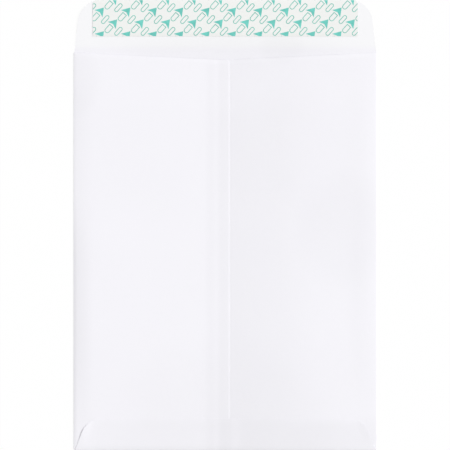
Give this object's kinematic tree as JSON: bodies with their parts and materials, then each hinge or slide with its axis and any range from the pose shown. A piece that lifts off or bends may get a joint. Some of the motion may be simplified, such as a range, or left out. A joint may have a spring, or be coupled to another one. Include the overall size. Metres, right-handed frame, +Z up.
{
  "type": "catalog envelope",
  "caption": "Open-end paper catalog envelope lying on its front, with a centre seam, a glued bottom flap and an open peel-and-seal top flap.",
  "frame": {"origin": "on the ground under the middle of the outline, with the front face of the envelope resting on the ground", "axes": "+X across the envelope, +Y along it towards the open top flap, +Z up through the back panels"},
  "size_m": [0.2414, 0.3588, 0.0018],
  "materials": {
    "white_paper": "matte",
    "seam_glue": "satin",
    "adhesive": "satin",
    "liner_paper": "satin"
  },
  "bodies": {
    "root": {"envelope_sheet": "white_paper", "centre_seam_glue": "seam_glue", "bottom_flap_glue": "seam_glue", "adhesive_strip": "adhesive", "release_liner": "liner_paper"}
  },
  "joints": []
}
